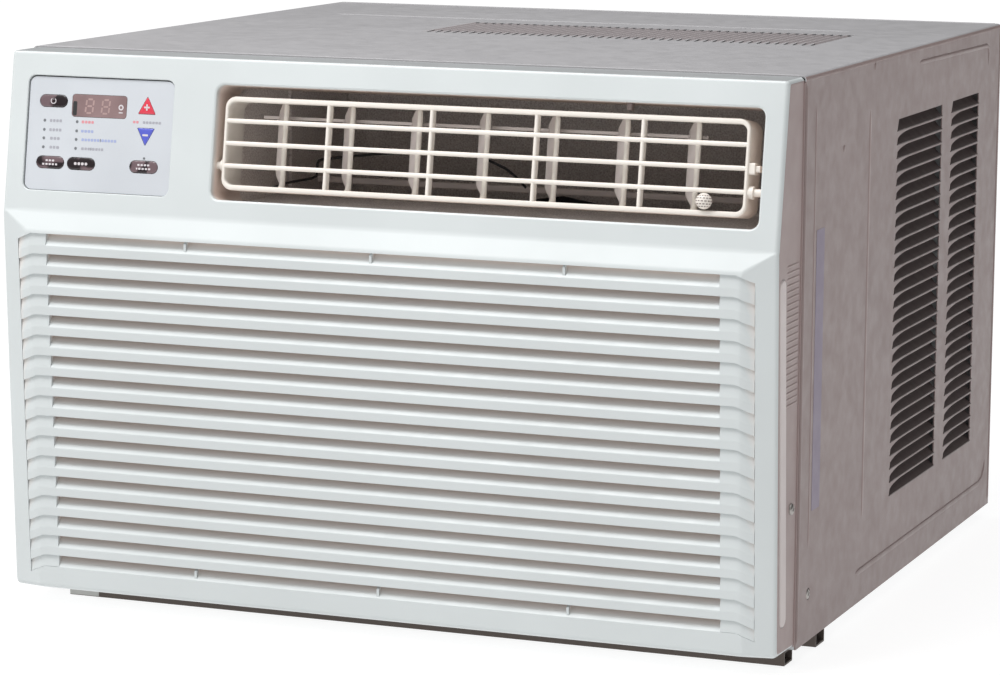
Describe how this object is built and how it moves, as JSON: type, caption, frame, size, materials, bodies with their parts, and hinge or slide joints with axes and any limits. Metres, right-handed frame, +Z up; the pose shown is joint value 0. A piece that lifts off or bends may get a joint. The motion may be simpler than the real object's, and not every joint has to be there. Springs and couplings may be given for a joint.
{
  "type": "window air conditioner",
  "caption": "Room air conditioner for a window opening: louvred steel case, slatted intake panel with slide-out filter, swivelling outlet louver, key panel.",
  "frame": {"origin": "centre of the bounding box, at the underside of the support rails (the sill)", "axes": "+X to the right seen from the room, -Y out of the front panel into the room, +Z up"},
  "size_m": [0.6624, 0.677, 0.457],
  "materials": {
    "cabinet_paint": "semi-gloss light warm grey enamel on pressed sheet steel",
    "galvanized_steel": "satin galvanised sheet",
    "screw_steel": "zinc-plated",
    "rail_steel": "dull brown-grey",
    "panel_white": "satin cool white injection moulding with fine grain",
    "cream_plastic": "satin warm white moulding",
    "membrane": "glossy pale grey film",
    "key_dark": "gloss, near-black",
    "key_red": "gloss, red",
    "key_blue": "gloss, blue",
    "display_smoke": "smoked clear window",
    "black_plastic": "matte black",
    "circuit_board": "green solder mask",
    "coil_fins": "close-set thin fins",
    "copper": "bright drawn copper tube",
    "machine_black": "black enamel",
    "capacitor_can": "drawn can",
    "dark_foam": "dark moulded foam",
    "rubber": "matte black",
    "filter_net": "fine woven nylon net"
  },
  "bodies": {
    "chassis": {"cabinet_top": "cabinet_paint", "cabinet_right_side": "cabinet_paint", "cabinet_left_side": "cabinet_paint", "rear_frame": "cabinet_paint", "base_pan": "galvanized_steel", "bulkhead": "galvanized_steel", "fan_shroud": "galvanized_steel", "motor_mount": "galvanized_steel", "control_box": "galvanized_steel", "heater_element": "galvanized_steel", "cabinet_screw_right": "screw_steel", "cabinet_screw_left": "screw_steel", "panel_screw_right": "screw_steel", "panel_screw_left": "screw_steel", "front_rail": "rail_steel", "middle_rail": "rail_steel", "rear_rail": "rail_steel", "front_panel": "panel_white", "intake_grille": "cream_plastic", "control_overlay": "membrane", "display_window": "display_smoke", "display_module": "black_plastic", "control_board": "circuit_board", "evaporator_coil": "coil_fins", "condenser_coil": "coil_fins", "discharge_tube": "copper", "suction_tube": "copper", "liquid_tube": "copper", "compressor": "machine_black", "accumulator": "machine_black", "fan_motor": "machine_black", "run_capacitor": "capacitor_can", "discharge_duct": "dark_foam", "blower_scroll": "dark_foam", "evaporator_drain_pan": "dark_foam", "cord_gland": "rubber", "compressor_base": "rubber"},
    "louver": {"louver_frame": "cream_plastic"},
    "vane_1": {"vane_1": "cream_plastic"},
    "vane_2": {"vane_2": "cream_plastic"},
    "vane_3": {"vane_3": "cream_plastic"},
    "vane_4": {"vane_4": "cream_plastic"},
    "vane_5": {"vane_5": "cream_plastic"},
    "vane_6": {"vane_6": "cream_plastic"},
    "vane_7": {"vane_7": "cream_plastic", "vane_knob": "cream_plastic"},
    "tie_bar": {"tie_bar": "cream_plastic"},
    "power_button": {"power_button": "key_dark"},
    "fan_speed_button": {"fan_speed_button": "key_dark"},
    "mode_button": {"mode_button": "key_dark"},
    "timer_button": {"timer_button": "key_dark"},
    "temperature_up_button": {"temperature_up_button": "key_red"},
    "temperature_down_button": {"temperature_down_button": "key_blue"},
    "fan_rotor": {"motor_shaft": "galvanized_steel", "blower_wheel": "black_plastic", "condenser_fan": "black_plastic"},
    "filter": {"filter_frame": "cream_plastic", "filter_mesh": "filter_net"}
  },
  "joints": [
    {"name": "louver_tilt", "type": "hinge", "parent": "chassis", "child": "louver", "pos_m": [0, -0.31176, 0.37068], "axis": [1, 0, 0], "range_deg": [-12, 12]},
    {"name": "vane_1_swing", "type": "hinge", "parent": "louver", "child": "vane_1", "pos_m": [-0.0906, -0.30686, 0.35037], "axis": [0, 0.156, 0.9878], "range_deg": [-84, 0]},
    {"name": "vane_2_swing", "type": "hinge", "parent": "louver", "child": "vane_2", "pos_m": [-0.0334, -0.30686, 0.35037], "axis": [0, 0.156, 0.9878], "range_deg": [-84, 0]},
    {"name": "vane_3_swing", "type": "hinge", "parent": "louver", "child": "vane_3", "pos_m": [0.0238, -0.30686, 0.35037], "axis": [0, 0.156, 0.9878], "range_deg": [-84, 0]},
    {"name": "vane_4_swing", "type": "hinge", "parent": "louver", "child": "vane_4", "pos_m": [0.081, -0.30686, 0.35037], "axis": [0, 0.156, 0.9878], "range_deg": [-84, 0]},
    {"name": "vane_5_swing", "type": "hinge", "parent": "louver", "child": "vane_5", "pos_m": [0.1382, -0.30686, 0.35037], "axis": [0, 0.156, 0.9878], "range_deg": [-84, 0]},
    {"name": "vane_6_swing", "type": "hinge", "parent": "louver", "child": "vane_6", "pos_m": [0.1954, -0.30686, 0.35037], "axis": [0, 0.156, 0.9878], "range_deg": [-84, 0]},
    {"name": "vane_7_swing", "type": "hinge", "parent": "louver", "child": "vane_7", "pos_m": [0.2526, -0.30686, 0.35037], "axis": [0, 0.156, 0.9878], "range_deg": [-84, 0]},
    {"name": "tie_bar_pivot", "type": "hinge", "parent": "vane_4", "child": "tie_bar", "pos_m": [0.07297, -0.28871, 0.40815], "axis": [0, 0.156, 0.9878], "range_deg": [0, 84]},
    {"name": "power_button_press", "type": "slide", "parent": "chassis", "child": "power_button", "axis": [0, 0.9878, -0.156], "range_m": [0, 0.0008], "stiffness_N_per_m": 900},
    {"name": "fan_speed_button_press", "type": "slide", "parent": "chassis", "child": "fan_speed_button", "axis": [0, 0.9878, -0.156], "range_m": [0, 0.0008], "stiffness_N_per_m": 900},
    {"name": "mode_button_press", "type": "slide", "parent": "chassis", "child": "mode_button", "axis": [0, 0.9878, -0.156], "range_m": [0, 0.0008], "stiffness_N_per_m": 900},
    {"name": "timer_button_press", "type": "slide", "parent": "chassis", "child": "timer_button", "axis": [0, 0.9878, -0.156], "range_m": [0, 0.0008], "stiffness_N_per_m": 900},
    {"name": "temperature_up_button_press", "type": "slide", "parent": "chassis", "child": "temperature_up_button", "axis": [0, 0.9878, -0.156], "range_m": [0, 0.0008], "stiffness_N_per_m": 900},
    {"name": "temperature_down_button_press", "type": "slide", "parent": "chassis", "child": "temperature_down_button", "axis": [0, 0.9878, -0.156], "range_m": [0, 0.0008], "stiffness_N_per_m": 900},
    {"name": "fan_spin", "type": "hinge", "parent": "chassis", "child": "fan_rotor", "pos_m": [0.06, 0, 0.222], "axis": [0, 1, 0], "continuous": true},
    {"name": "filter_slide", "type": "slide", "parent": "chassis", "child": "filter", "axis": [1, 0, 0], "range_m": [0, 0.55]}
  ],
  "couplings": [
    {"joint": "vane_1_swing", "follows": "vane_7_swing", "ratio": 1},
    {"joint": "vane_2_swing", "follows": "vane_7_swing", "ratio": 1},
    {"joint": "vane_3_swing", "follows": "vane_7_swing", "ratio": 1},
    {"joint": "vane_4_swing", "follows": "vane_7_swing", "ratio": 1},
    {"joint": "vane_5_swing", "follows": "vane_7_swing", "ratio": 1},
    {"joint": "vane_6_swing", "follows": "vane_7_swing", "ratio": 1},
    {"joint": "tie_bar_pivot", "follows": "vane_7_swing", "ratio": -1}
  ]
}
